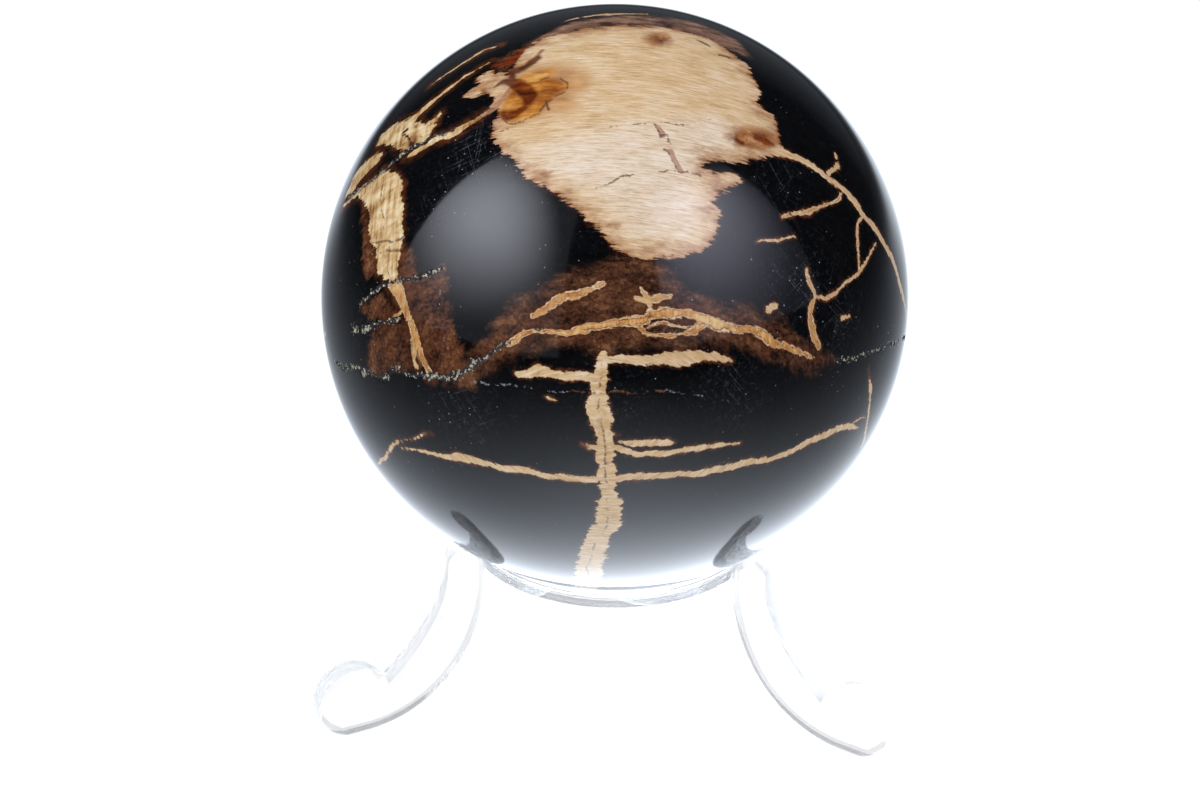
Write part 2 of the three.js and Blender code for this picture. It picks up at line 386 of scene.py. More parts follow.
# Each vein's start, as a turn and a height, and its heading, in degrees, then its number of
# steps, its width in mm, and how rusty it is.
HIDDEN_VEINS = [
    (100, 30, -8, 16, 0.9, 0.2), (112, -20, 30, 14, 0.7, 0.0), (128, 8, 80, 9, 1.4, 0.1),
    (150, 38, -20, 15, 1.0, 0.7), (165, -38, 8, 13, 0.8, 0.0), (178, -6, 96, 12, 1.6, 0.1),
    (188, 22, -14, 14, 0.7, 0.5), (214, -24, 12, 13, 0.9, 0.0), (226, 18, 72, 8, 1.2, 0.4),
    (240, 2, -30, 12, 0.8, 0.2), (262, -34, 40, 9, 0.6, 0.0), (205, 42, -24, 8, 0.7, 0.3),
]

# It has a few uneven cream islands and brown clouds too: a turn, a height, and reaches aside
# and upwards in mm.
HIDDEN_ISLANDS = [
    (172, 27, 6.0, 2.2), (150, 20, 2.6, 1.4), (246, -12, 2.0, 4.5), (118, -30, 2.4, 1.6),
]
HIDDEN_CLOUDS = [
    (166, 24, 12.0, 6.0), (243, -10, 5.0, 8.5), (122, -28, 7.0, 4.5), (205, -30, 8.0, 4.0),
]
OUTLINE_STEPS = 16


def uneven_outline(turn, height, aside, upward):
    """A closed outline of uneven reach round a place on the ball."""
    middle = outwards(turn, height)
    east = np.cross([0, 0, 1], middle)
    east /= np.linalg.norm(east)
    north = np.cross(middle, east)
    places = []
    for step in range(OUTLINE_STEPS):
        angle = math.tau * step / OUTLINE_STEPS
        reach = wander.uniform(0.7, 1.15)
        place = middle * ball_radius / MM + reach * (
            math.cos(angle) * aside * east + math.sin(angle) * upward * north)
        places.append(place / np.linalg.norm(place) * ball_radius / MM)
    return np.array(places)


# The brown margin beside a vein, and how ragged the edge of a wide piece is, in mm.
BAND, LEFT_BAND = 0.34, 0.95
PATCH_RAG, LEFT_RAG = 0.60, 0.42
all_veins = [(as_line(picks), rag, rust, BAND) for picks, rag, rust in VEINS]
all_veins += [(as_line(picks), rag, rust, LEFT_BAND) for picks, rag, rust in LEFT_VEINS]
all_veins += [(wandering_vein(*vein[:5]), 0.16, vein[5], BAND) for vein in HIDDEN_VEINS]
all_pieces = [(as_outline(piece), LEFT_RAG, LEFT_BAND) for piece in LEFT_PIECES]
all_pieces += [(uneven_outline(*island), PATCH_RAG, BAND) for island in HIDDEN_ISLANDS]
cream_patch = as_outline(CREAM_PATCH)
thin_lines = {"crack": CRACKS, "seam": SEAMS, "red": RED_VEINS, "crumb": CRUMBLED,
              "faint": FAINT_CRACKS}
thin_lines = {name: [as_line(picks) for picks in group] for name, group in thin_lines.items()}
areas = {"amber": [AMBER_EYE], "stain": [AMBER_STAIN], "knot": [BROWN_KNOT, BROWN_SMUDGE],
         "pale_and_highlight": [PALE_AND_HIGHLIGHT_OUTLINE], "blush": [BLUSH], "brown": [BROWN_HALO], "block": BROWN_BLOCKS}
areas = {name: [as_outline(picks) for picks in group] for name, group in areas.items()}
areas["brown"] += [uneven_outline(*cloud) for cloud in HIDDEN_CLOUDS]

# All edges wander a little, in slow and in fine waves: waves to a mm, and their reach in mm.
# They start from the same seed each time.
WAVES, WAVE_SEED = ((0.45, 0.30), (1.7, 0.10)), 658
noise.seed_set(WAVE_SEED)


def pattern(places):
    """The stone's pattern at places on the ball: for each layer a depth in mm or a share."""
    bent = np.array([sum(np.array(noise.noise_vector(Vector(place) * fine)) * sway
                         for fine, sway in WAVES) for place in places])
    wavy = places + bent
    cream = outline_depth(wavy, cream_patch)
    rag = np.full(len(places), PATCH_RAG)
    rust = np.zeros(len(places))
    band = np.full(len(places), BAND)
    veins = [(line_depth(wavy, line), *looks) for line, *looks in all_veins]
    veins += [(outline_depth(wavy, piece), ragged, 0.0, margin)
              for piece, ragged, margin in all_pieces]
    for depth, ragged, rusty, margin in veins:
        nearer = depth > cream
        cream = np.where(nearer, depth, cream)
        rag = np.where(nearer, ragged, rag)
        rust = np.where(nearer, rusty, rust)
        band = np.where(nearer, margin, band)
    layers = {"cream": cream, "rag": rag, "rust": rust, "band": band}
    for name, outlines in areas.items():
        layers[name] = np.maximum.reduce([outline_depth(wavy, outline) for outline in outlines])
    for name, group in thin_lines.items():
        layers[name] = np.maximum.reduce([line_depth(wavy, line) for line in group])
    scuffed = np.zeros(len(places))
    for across, down, reach, amount in SCUFFS:
        gap = np.linalg.norm(places - on_ball(across, down), axis=1) / (reach * PIXEL)
        scuffed = np.maximum(scuffed, amount * np.exp(-gap**2))
    layers["scuffed"] = scuffed
    return layers


# The ball starts as an icosphere and is cut finer only near an edge of the pattern, three
# times over, each time within a narrower band, in mm.
EDGE_BANDS = (1.5, 0.8, 0.36)
EDGED = ("cream", "crack", "crumb", "faint", "seam", "red", "amber")
ball_form = bmesh.new()
bmesh.ops.create_icosphere(ball_form, subdivisions=6, radius=ball_radius / MM)
for band in EDGE_BANDS:
    ball_form.verts.ensure_lookup_table()
    layers = pattern(np.array([vert.co for vert in ball_form.verts]))
    near = np.minimum.reduce([abs(layers[name]) for name in EDGED]) < band
    edges = [edge for edge in ball_form.edges if all(near[vert.index] for vert in edge.verts)]
    bmesh.ops.subdivide_edges(ball_form, edges=edges, cuts=1, use_grid_fill=True)
    uneven = [face for face in ball_form.faces if len(face.verts) > 3]
    bmesh.ops.triangulate(ball_form, faces=uneven)
    for vert in ball_form.verts:
        vert.co = vert.co.normalized() * (ball_radius / MM)
layers = pattern(np.array([vert.co for vert in ball_form.verts]))

# Crumbs have fallen out along the weathered crack, so the surface is pitted there.
PIT_DEPTH, PIT_FINENESS, PIT_SHARE = 0.22, 1.9, 0.15
CRUMB_REACH = 0.15
for vert, crumb in zip(ball_form.verts, layers["crumb"]):
    if crumb > -CRUMB_REACH:
        fade = min(1.0, (crumb + CRUMB_REACH) / (2 * CRUMB_REACH))
        pitted = max(0.0, noise.noise(vert.co * PIT_FINENESS) + PIT_SHARE) * fade
        vert.co *= 1 - PIT_DEPTH * pitted / vert.co.length
bmesh.ops.scale(ball_form, verts=ball_form.verts, vec=(MM, MM, MM))
bmesh.ops.translate(ball_form, verts=ball_form.verts, vec=ball_centre)
for face in ball_form.faces:
    face.smooth = True


def piece_from(form, name):
    """A finished bmesh as an object of the scene."""
    mesh = bpy.data.meshes.new(name)
    form.to_mesh(mesh)
    form.free()
    piece = bpy.data.objects.new(name, mesh)
    bpy.context.collection.objects.link(piece)
    return piece


ball = piece_from(ball_form, "petrified_wood_ball")
for name, values in layers.items():
    attribute = ball.data.attributes.new(name, "FLOAT", "POINT")
    attribute.data.foreach_set("value", values.astype(np.float32))


def new_material(name):
    """A material with an empty node tree."""
    material = bpy.data.materials.new(name)
    material.use_nodes = True
    material.node_tree.nodes.clear()
    return material


def colour(hex_code):
    """An sRGB hex colour as the linear colour that a shader takes."""
    shares = [int(hex_code[place:place + 2], 16) / 255 for place in (1, 3, 5)]
    return (*[s / 12.92 if s <= 0.04045 else ((s + 0.055) / 1.055) ** 2.4 for s in shares], 1)


def add(tree, kind, inputs=None, stops=(), **settings):
    """Adds a shader node with its settings and a ramp's stops, and links or sets its inputs.

    A node given as an input means its first output in use."""
    node = tree.nodes.new("ShaderNode" + kind)
    for name, value in settings.items():
        setattr(node, name, value)
    for key, value in (inputs or {}).items():
        if isinstance(value, bpy.types.Node):
            value = next(output for output in value.outputs if output.enabled)
        if isinstance(value, bpy.types.NodeSocket):
            tree.links.new(value, node.inputs[key])
        else:
            node.inputs[key].default_value = value
    for index, (position, hex_code) in enumerate(stops):
        if index > 1:
            node.color_ramp.elements.new(1.0)
        node.color_ramp.elements[index].position = position
        node.color_ramp.elements[index].color = colour(hex_code)
    return node


# Petrified wood, lapped and polished with fine grit: a mirror that hides the colour at a slant,
# black like glass between the veins, and in the cream the streaks of the old wood's fibres.
stone = new_material("polished_petrified_wood")
tree = stone.node_tree
layer = {name: add(tree, "Attribute", attribute_name=name).outputs["Fac"] for name in layers}

# The wood's own directions: fibres along X, in rings round the log's heart, which lay in front
# of the ball. Patterns are read across, through and along the rings, in mm.
HEART_Y, HEART_Z = -50.0, 44.0
place = add(tree, "TexCoord").outputs["Object"]
place = add(tree, "VectorMath", {0: place, "Scale": 1000.0}, operation="SCALE")
from_heart = add(tree, "VectorMath", {0: place, 1: (0, HEART_Y, HEART_Z)}, operation="SUBTRACT")
beside = add(tree, "VectorMath", {0: from_heart, 1: (0, 1, 1)}, operation="MULTIPLY")
ring = add(tree, "VectorMath", {0: beside}, operation="LENGTH")
axes = add(tree, "SeparateXYZ", {0: from_heart})
grain = add(tree, "CombineXYZ", {0: axes.outputs["X"], 1: ring, 2: axes.outputs["Z"]})

# Each kind of mark: its size along X, through the rings and along Z in mm, its detail, a shift.
MARKS = {
    "bands": ((6.0, 0.55, 6.0), 4, 0.0),
    "fibres": ((1.7, 0.12, 1.7), 4, 5.0),
    "teeth": ((2.0, 0.26, 2.0), 5, 11.0),
    "pores": ((1.1, 0.08, 1.1), 1, 23.0),
    "strands": ((0.30, 4.0, 4.0), 4, 31.0),
    "clouds": ((5.0, 4.0, 5.0), 3, 3.0),
    "mottle": ((3.0, 1.2, 3.0), 6, 9.0),
    "lumps": ((1.1, 1.1, 1.1), 3, 4.0),
    "specks": ((0.35, 0.35, 0.35), 3, 17.0),
    "crumbs": ((0.30, 0.30, 0.30), 2, 41.0),
}
mark = {}
for name, (sizes, detail, shift) in MARKS.items():
    sized = add(tree, "VectorMath",
                {0: grain, 1: tuple(1 / size for size in sizes), 2: (shift, shift, shift)},
                operation="MULTIPLY_ADD")
    mark[name] = add(tree, "TexNoise",
                     {"Vector": sized, "Scale": 1.0, "Detail": detail, "Roughness": 0.65})

# The edge of the cream is ragged along the grain, as fibre ends are, broken in clouds, and
# finely pitted.
TEETH_REACH, CLOUD_REACH, PITTED_REACH = 3.4, 3.0, 0.36
edge = layer["cream"]
for name, sway in (("teeth", TEETH_REACH), ("mottle", CLOUD_REACH)):
    ragged = add(tree, "Math", {0: mark[name], 1: 0.5}, operation="SUBTRACT")
    ragged = add(tree, "Math", {0: ragged, 1: layer["rag"]}, operation="MULTIPLY")
    edge = add(tree, "Math", {0: ragged, 1: sway, 2: edge}, operation="MULTIPLY_ADD")
edge = add(tree, "Math", {0: mark["specks"], 1: PITTED_REACH, 2: edge}, operation="MULTIPLY_ADD")
edge = add(tree, "Math", {0: edge, 1: PITTED_REACH / 2}, operation="SUBTRACT")
margin = add(tree, "Math", {0: layer["band"], 1: -1.0}, operation="MULTIPLY")

# Where each finish begins and ends: the depth that it reads, the marks that sway its edge, by
# how many mm, and the depths at which it is bare and full.
REACHES = {
    "brown": (layer["brown"], "mottle", 3.0, -0.8, 0.7),
    "block": (layer["block"], "mottle", 2.6, -0.35, 0.35),
    "blush": (layer["blush"], "mottle", 2.0, -0.7, 0.5),
    "stained": (edge, "specks", 0.20, margin, -0.02),
    "cream": (edge, "specks", 0.0, -0.05, 0.07),
    "pale_and_highlight": (layer["pale_and_highlight"], "clouds", 3.0, -2.0, 2.0),
    "rim": (edge, "mottle", 4.0, 1.8, -0.10),
    "lip": (edge, "mottle", 2.0, 0.42, -0.05),
    "rust": (edge, "lumps", 0.4, 0.07, 0.12),
    "core": (edge, "lumps", 0.5, 0.15, 0.21),
    "amber": (layer["amber"], "mottle", 1.6, -0.45, 0.45),
    "glow": (layer["stain"], "mottle", 2.4, -0.9, 0.9),
    "red": (layer["red"], "mottle", 0.9, -0.30, 0.14),
    "knot": (layer["knot"], "lumps", 2.2, -0.9, 0.3),
    "seam": (layer["seam"], "specks", 0.3, -0.06, 0.06),
    "crack": (layer["crack"], "specks", 0.55, -0.09, 0.02),
    "faint": (layer["faint"], "specks", 0.6, -0.06, 0.06),
    "crumb": (layer["crumb"], "specks", 0.8, -0.20, -0.04),
    "grains": (layer["crumb"], "crumbs", 2.3, 0.07, 0.13),
}
reach = {}
for name, (depth, swayed_by, sway, bare, full) in REACHES.items():
    swayed = add(tree, "Math", {0: mark[swayed_by], 1: 0.5}, operation="SUBTRACT")
    swayed = add(tree, "Math", {0: swayed, 1: sway, 2: depth}, operation="MULTIPLY_ADD")
    reach[name] = add(tree, "MapRange", {"Value": swayed, "From Min": bare, "From Max": full},
                      interpolation_type="SMOOTHSTEP")

# What the polish has opened or lost. Tiny round voids lie all over, their spacing in mm, and
# more of them are open where the ball is handled.
VOID_SPACING, HANDLED = 0.5, 0.40
voids = add(tree, "TexVoronoi", {"Vector": place, "Scale": 1 / VOID_SPACING})
void_pick = add(tree, "SeparateColor", {0: voids.outputs["Color"]})
void_pick = add(tree, "Math", {0: layer["scuffed"], 1: HANDLED, 2: void_pick},
                operation="MULTIPLY_ADD")

# Fine scratches of three leanings, in mm: each a lean about Y, a shift, and how much it covers.
SCRATCH_WIDTH, SCRATCH_LENGTH = 0.09, 4.5
SCRATCHES = {"upright": (0.18, 0.0, 0.10), "leaning": (-0.62, 7.0, 0.20),
             "crossing": (1.05, 13.0, 0.15)}
for name, (lean, shift, cover) in SCRATCHES.items():
    leaned = add(tree, "Mapping", {
        "Vector": place, "Rotation": (0, lean, 0), "Location": (shift, shift, shift),
        "Scale": (SCRATCH_WIDTH, SCRATCH_LENGTH, SCRATCH_LENGTH)}, vector_type="TEXTURE")
    mark[name] = add(tree, "TexNoise",
                     {"Vector": leaned, "Scale": 1.0, "Detail": 1.0, "Roughness": 0.5})

# What shows only where something else does: each a mark with the values between which it
# comes in, and then what it lies within. The golden wood has wide margins, only wide pieces
# have a rim and a lip, and blue-grey specks, partly dust and partly a painted sheen of the
# lights on the black polish, lie thinly everywhere and thicker where the polish is scuffed.
PLAIN_DUST_AND_SHEEN = 0.3
SHOWN = {
    "golden": (layer["band"], 0.5, 0.9),
    "wide": (layer["rag"], 0.45, 0.55),
    "dust_and_sheen_specks": (mark["specks"], 0.56, 0.72),
    "pored": (mark["pores"], 0.60, 0.68),
    "open": (void_pick, 0.94, 1.04),
    "round": (voids.outputs["Distance"], 0.16, 0.09),
    **{name: (mark[name], 0.64, 0.74) for name in SCRATCHES},
}
shown = {name: add(tree, "MapRange", {"Value": value, "From Min": least, "From Max": most})
         for name, (value, least, most) in SHOWN.items()}
dust_and_sheen_amount = add(tree, "Math", {0: layer["scuffed"], 1: PLAIN_DUST_AND_SHEEN}, operation="ADD")
wide_cream = add(tree, "Math", {0: shown["wide"], 1: reach["cream"]}, operation="MULTIPLY")
WITHIN = {
    "rust": (reach["rust"], layer["rust"]), "core": (reach["core"], layer["rust"]),
    "gold": (shown["golden"], reach["cream"]), "pores": (shown["pored"], reach["cream"]),
    "pale_and_highlight": (reach["pale_and_highlight"], reach["cream"]), "glow": (reach["glow"], reach["cream"]),
    "rim": (reach["rim"], wide_cream), "lip": (reach["lip"], wide_cream),
    "dust_and_sheen": (shown["dust_and_sheen_specks"], dust_and_sheen_amount), "voids": (shown["open"], shown["round"]),
    **{name: (shown[name], layer["scuffed"]) for name in SCRATCHES},
}
for name, (inner, outer) in WITHIN.items():
    reach[name] = add(tree, "Math", {0: inner, 1: outer}, operation="MULTIPLY")

# The tone of each finish over the marks that it reads, from low to high.
streaky = add(tree, "Mix", {0: 0.22, 2: mark["fibres"], 3: mark["bands"]})
streaky = add(tree, "Mix", {0: 0.28, 2: streaky, 3: mark["mottle"]})
woven = add(tree, "Mix", {0: 0.45, 2: mark["mottle"], 3: mark["strands"]})
grainy = add(tree, "Mix", {0: 0.4, 2: mark["mottle"], 3: mark["specks"]})
TONES = {
    "black": (mark["bands"], (0.35, "#050507"), (0.62, "#0a0a0c"), (0.82, "#17110d")),
    "brown": (grainy, (0.38, "#1c100a"), (0.46, "#422719"), (0.54, "#5f3b26"), (0.66, "#8a6040")),
    "block": (grainy, (0.38, "#1c0f08"), (0.46, "#472919"), (0.54, "#663d25"), (0.66, "#946640")),
    "blush": (mark["mottle"], (0.36, "#3c261c"), (0.46, "#7a5542"), (0.56, "#9d765c"),
              (0.70, "#c09a7c")),
    "stained": (mark["lumps"], (0.35, "#2a1208"), (0.65, "#6b3718")),
    "cream": (streaky, (0.32, "#a9794a"), (0.42, "#cba877"), (0.50, "#dcbc8e"), (0.58, "#e7ceaa"),
              (0.70, "#f1e2ca")),
    # The paler cream is partly the stone's colour and partly a painted highlight of mirrored light.
    "pale_and_highlight": (streaky, (0.32, "#b8906e"), (0.42, "#d9bea0"), (0.50, "#e8d4b8"), (0.66, "#f6ecdc")),
    "gold": (woven, (0.36, "#6e4a26"), (0.43, "#a87e4c"), (0.49, "#cfac78"), (0.55, "#e3c898"),
             (0.64, "#f3e4c4")),
    "rim": (mark["mottle"], (0.35, "#9a6a48"), (0.65, "#cb9e7a")),
    "lip": (mark["lumps"], (0.35, "#7a4a28"), (0.65, "#b98450")),
    "pores": (mark["lumps"], (0.3, "#8a5f3c"), (0.7, "#b58a62")),
    "rust": (mark["lumps"], (0.36, "#6a2c0c"), (0.50, "#9c5420"), (0.64, "#c88c4a")),
    "core": (woven, (0.38, "#a8642c"), (0.48, "#cd9452"), (0.60, "#eaca92")),
    "glow": (mark["mottle"], (0.35, "#a56f3e"), (0.65, "#d09a5e")),
    "amber": (mark["mottle"], (0.34, "#76360a"), (0.45, "#9f5812"), (0.54, "#c07c28"),
              (0.66, "#dba65a")),
    "red": (mark["mottle"], (0.36, "#2c0903"), (0.48, "#561a08"), (0.62, "#8a3a0e")),
    "knot": (mark["lumps"], (0.36, "#54291a"), (0.48, "#94562c"), (0.60, "#b27a4c"),
             (0.74, "#c99e76")),
    "seam": (mark["specks"], (0.3, "#8d5e44"), (0.7, "#b98a6c")),
    "crack": (mark["specks"], (0.3, "#341a0c"), (0.7, "#7d5236")),
    "faint": (mark["specks"], (0.3, "#60666e"), (0.7, "#b9bec6")),
    "crumb": (mark["specks"], (0.3, "#06080b"), (0.7, "#1a1e24")),
    "grains": (mark["specks"], (0.34, "#7d7866"), (0.50, "#b3aa8e"), (0.66, "#d2ccb8")),
    # Blue-grey specks: partly real dust, partly a painted sheen of the lights on the black polish.
    "dust_and_sheen": (mark["crumbs"], (0.3, "#39404a"), (0.7, "#8a93a0")),
    "voids": (mark["specks"], (0.3, "#8f949c"), (0.7, "#d5d9df")),
}
TONES.update({name: (mark["specks"], (0.35, "#4a4e57"), (0.7, "#b3bac6")) for name in SCRATCHES})

# How the finishes lie over one another, and how much each covers.
COVERS = {
    "brown": 0.92, "block": 0.9, "blush": 0.85, "stained": 0.75, "cream": 1.0, "pale_and_highlight": 0.85,
    "gold": 0.95, "rim": 0.75, "lip": 0.8, "pores": 0.4, "rust": 0.9, "core": 0.9, "glow": 0.75,
    "amber": 0.88, "knot": 0.95, "seam": 0.75, "red": 0.9, "crack": 0.8, "faint": 0.6,
    "dust_and_sheen": 0.16, "crumb": 1.0, "grains": 0.95, "voids": 0.6,
}
COVERS.update({name: cover for name, (lean, shift, cover) in SCRATCHES.items()})
tone = {name: add(tree, "ValToRGB", {0: marks}, stops) for name, (marks, *stops) in TONES.items()}
body = tone["black"]
for name, cover in COVERS.items():
    share = add(tree, "Math", {0: reach[name], 1: cover}, operation="MULTIPLY")
    body = add(tree, "Mix", {0: share, 6: body, 7: tone[name]}, data_type="RGBA")

# The polish is duller in clouds, and gone in the crack. Fibres stand out by a hundredth of a
# mm, fine cracks are sunk a little more, and the crack's crumbs stand proud.
BRIGHT, CLOUDED, CRUMBLY = 0.05, 0.11, 0.55
FIBRE_HEIGHT, CRACK_HEIGHT, CRUMB_HEIGHT = 0.010, -0.015, 0.12
dull = add(tree, "MapRange", {"Value": mark["mottle"], "From Min": 0.35, "From Max": 0.75,
                              "To Min": BRIGHT, "To Max": CLOUDED})
roughness = add(tree, "Math", {0: reach["crumb"], 1: CRUMBLY, 2: dull}, operation="MULTIPLY_ADD")
height = add(tree, "Math", {0: mark["fibres"], 1: reach["cream"]}, operation="MULTIPLY")
height = add(tree, "Math", {0: height, 1: FIBRE_HEIGHT}, operation="MULTIPLY")
for name, rise in (("crack", CRACK_HEIGHT), ("grains", CRUMB_HEIGHT)):
    height = add(tree, "Math", {0: reach[name], 1: rise, 2: height}, operation="MULTIPLY_ADD")
bump = add(tree, "Bump", {"Strength": 0.6, "Distance": MM, "Height": height})
polish = add(tree, "BsdfPrincipled",
             {"Base Color": body, "Roughness": roughness, "IOR": 1.54, "Normal": bump})
add(tree, "OutputMaterial", {"Surface": polish})
ball.data.materials.append(stone)
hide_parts("stone_ball")
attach(ball, "root")


# The stand. Clear acrylic, injection moulded in one: a low ring with a coned seat, on three flat
# bars that swing out to round toes. Every edge is rounded, as the mould leaves it.

stand_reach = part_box("clear_stand")[1].y - ball_centre.y
RING_OUTER, RING_WALL, RING_UNDERSIDE, RING_DEPTH, RING_EDGE = 14.5, 2.4, 15.3, 1.6, 0.35
SEAT_GAP = 0.3
LEG_WIDTH, LEG_DEPTH, LEG_RISE, LEG_EDGE, LEG_OVERLAP = 2.8, 4.0, 1.3, 1.1, 0.45
SHOULDER = 1.5
TOE_RADIUS, SOLE_HALF, NECK = 3.9, 0.9, math.radians(156)
TOE_X = stand_reach / MM - TOE_RADIUS
RING_STEPS, CURVE_STEPS, TOE_STEPS, SHOULDER_STEPS, EDGE_STEPS = 160, 72, 72, 10, 6

# The seat follows the ball's slope at the middle of the ring's wall.
ring_top = RING_UNDERSIDE + RING_DEPTH
seat_radius = RING_OUTER - RING_WALL / 2
seat_slope = seat_radius / math.sqrt((ball_radius / MM + SEAT_GAP) ** 2 - seat_radius**2)
ring_inner = RING_OUTER - RING_WALL
profile = [
    (ring_inner, ring_top - RING_WALL * seat_slope), (ring_inner, RING_UNDERSIDE),
    (RING_OUTER, RING_UNDERSIDE), (RING_OUTER, ring_top),
]
ring_form = bmesh.new()
corners = [ring_form.verts.new((radius, 0, height)) for radius, height in profile]
for start, end in zip(corners, corners[1:] + corners[:1]):
    ring_form.edges.new((start, end))
bmesh.ops.spin(ring_form, geom=ring_form.verts[:] + ring_form.edges[:], cent=(0, 0, 0),
               axis=(0, 0, 1), angle=math.tau, steps=RING_STEPS, use_merge=True)
bmesh.ops.remove_doubles(ring_form, verts=ring_form.verts, dist=1e-4)
bmesh.ops.recalc_face_normals(ring_form, faces=ring_form.faces)
hoops = [edge for edge in ring_form.edges
         if abs(edge.verts[0].co.xy.length - edge.verts[1].co.xy.length) < 1e-3
         and abs(edge.verts[0].co.z - edge.verts[1].co.z) < 1e-3]
bmesh.ops.bevel(ring_form, geom=hoops, offset=RING_EDGE, segments=EDGE_STEPS, profile=0.5,
                affect="EDGES", material=-1, clamp_overlap=True)
ring_piece = piece_from(ring_form, "ring")

# A leg's side view. x runs outwards from the ring's axis and y runs up. Its two long curves
# are bent by handles set as shares of the leg's height and reach.
leg_inner = RING_OUTER - LEG_OVERLAP
leg_outer = RING_OUTER + LEG_DEPTH
leg_top = ring_top + LEG_RISE
toe_y = math.sqrt(TOE_RADIUS**2 - SOLE_HALF**2)
sole_angle = math.asin(SOLE_HALF / TOE_RADIUS)
neck = Vector((TOE_X + TOE_RADIUS * math.cos(NECK), toe_y + TOE_RADIUS * math.sin(NECK)))
underside = geometry.interpolate_bezier(
    Vector((leg_inner, RING_UNDERSIDE)), Vector((leg_inner, RING_UNDERSIDE * 0.46)),
    Vector((leg_inner + (TOE_X - leg_inner) * 0.37, 0)), Vector((TOE_X - SOLE_HALF, 0)),
    CURVE_STEPS)
back = geometry.interpolate_bezier(
    neck, Vector((leg_outer + LEG_DEPTH * 0.3, leg_top * 0.56)),
    Vector((leg_outer, leg_top * 0.74)), Vector((leg_outer, leg_top - SHOULDER)), CURVE_STEPS)
shoulder_turns = [math.pi / 2 * step / SHOULDER_STEPS for step in range(1, SHOULDER_STEPS + 1)]
shoulder = [Vector((leg_outer - SHOULDER * (1 - math.cos(turn)),
                    leg_top - SHOULDER * (1 - math.sin(turn)))) for turn in shoulder_turns]
toe_start, toe_end = sole_angle - math.pi / 2, NECK
toe_turns = [toe_start + (toe_end - toe_start) * step / TOE_STEPS for step in range(TOE_STEPS)]
toe = [Vector((TOE_X + TOE_RADIUS * math.cos(turn), toe_y + TOE_RADIUS * math.sin(turn)))
       for turn in toe_turns]
seat_start = ring_top - (RING_OUTER - leg_inner) * seat_slope
lug = [Vector((RING_OUTER + LEG_RISE / seat_slope, leg_top)), Vector((leg_inner, seat_start))]
side_view = [*underside, *toe, *back, *shoulder, *lug]

leg_form = bmesh.new()
side = leg_form.faces.new([leg_form.verts.new((0, point[0], point[1])) for point in side_view])
extruded = bmesh.ops.extrude_face_region(leg_form, geom=[side])["geom"]
far_side = [part for part in extruded if isinstance(part, bmesh.types.BMVert)]
bmesh.ops.translate(leg_form, verts=far_side, vec=(LEG_WIDTH, 0, 0))
bmesh.ops.translate(leg_form, verts=leg_form.verts, vec=(-LEG_WIDTH / 2, 0, 0))
bmesh.ops.recalc_face_normals(leg_form, faces=leg_form.faces)
rims = [edge for edge in leg_form.edges if abs(edge.verts[0].co.x - edge.verts[1].co.x) < 1e-3]
bmesh.ops.bevel(leg_form, geom=rims, offset=LEG_EDGE, segments=EDGE_STEPS, profile=0.5,
                affect="EDGES", material=-1, clamp_overlap=False)
first = leg_form.verts[:] + leg_form.edges[:] + leg_form.faces[:]
for turn in (1, 2):
    copied = bmesh.ops.duplicate(leg_form, geom=first)["geom"]
    moved = [part for part in copied if isinstance(part, bmesh.types.BMVert)]
    third = Matrix.Rotation(turn * math.tau / 3, 3, "Z")
    bmesh.ops.rotate(leg_form, verts=moved, cent=(0, 0, 0), matrix=third)
legs_piece = piece_from(leg_form, "legs")

# The moulding is one body, so the ring and the legs are joined, and its flat faces stay flat.
SHARP_CORNER = math.radians(40)
union = ring_piece.modifiers.new("moulded in one", "BOOLEAN")
union.operation = "UNION"
union.solver = "EXACT"
union.object = legs_piece
moulded = ring_piece.evaluated_get(bpy.context.evaluated_depsgraph_get())
joined = bpy.data.meshes.new_from_object(moulded)
for piece in (ring_piece, legs_piece):
    bpy.data.objects.remove(piece)
stand_form = bmesh.new()
stand_form.from_mesh(joined)
bmesh.ops.remove_doubles(stand_form, verts=stand_form.verts, dist=1e-3)
bmesh.ops.dissolve_degenerate(stand_form, edges=stand_form.edges, dist=1e-3)
bmesh.ops.scale(stand_form, verts=stand_form.verts, vec=(MM, MM, MM))
bmesh.ops.translate(stand_form, verts=stand_form.verts, vec=(ball_centre.x, ball_centre.y, 0))
for face in stand_form.faces:
    face.smooth = True
bpy.data.meshes.remove(joined)
stand = piece_from(stand_form, "clear_acrylic_stand")
stand.data.set_sharp_from_angle(angle=SHARP_CORNER)
flat = stand.modifiers.new("flat faces stay flat", "WEIGHTED_NORMAL")
flat.keep_sharp = True

# Cast clear acrylic as it leaves a polished mould: nearly no colour, mirror smooth.
acrylic = new_material("clear_moulded_acrylic")
tree = acrylic.node_tree
clear = add(tree, "BsdfPrincipled", {
    "Base Color": colour("#fbfcfd"), "Roughness": 0.01, "IOR": 1.49, "Transmission Weight": 1.0,
    "Alpha": 0.58})
add(tree, "OutputMaterial", {"Surface": clear})
stand.data.materials.append(acrylic)
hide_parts("clear_stand")
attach(stand, "root")


# The studio. A white sweep under a dark ceiling, with a soft box on each side. The sweep shows
# plain white to the camera, while the polished stone mirrors a lit table in a dark room.


def disc(radius, height):
    form = bmesh.new()
    bmesh.ops.create_circle(form, cap_ends=True, segments=96, radius=radius)
    bmesh.ops.translate(form, verts=form.verts, vec=(0, 0, height))
    return form


def shell(radius):
    form = bmesh.new()
    bmesh.ops.create_uvsphere(form, u_segments=64, v_segments=32, radius=radius)
    bmesh.ops.reverse_faces(form, faces=form.faces)
    return form


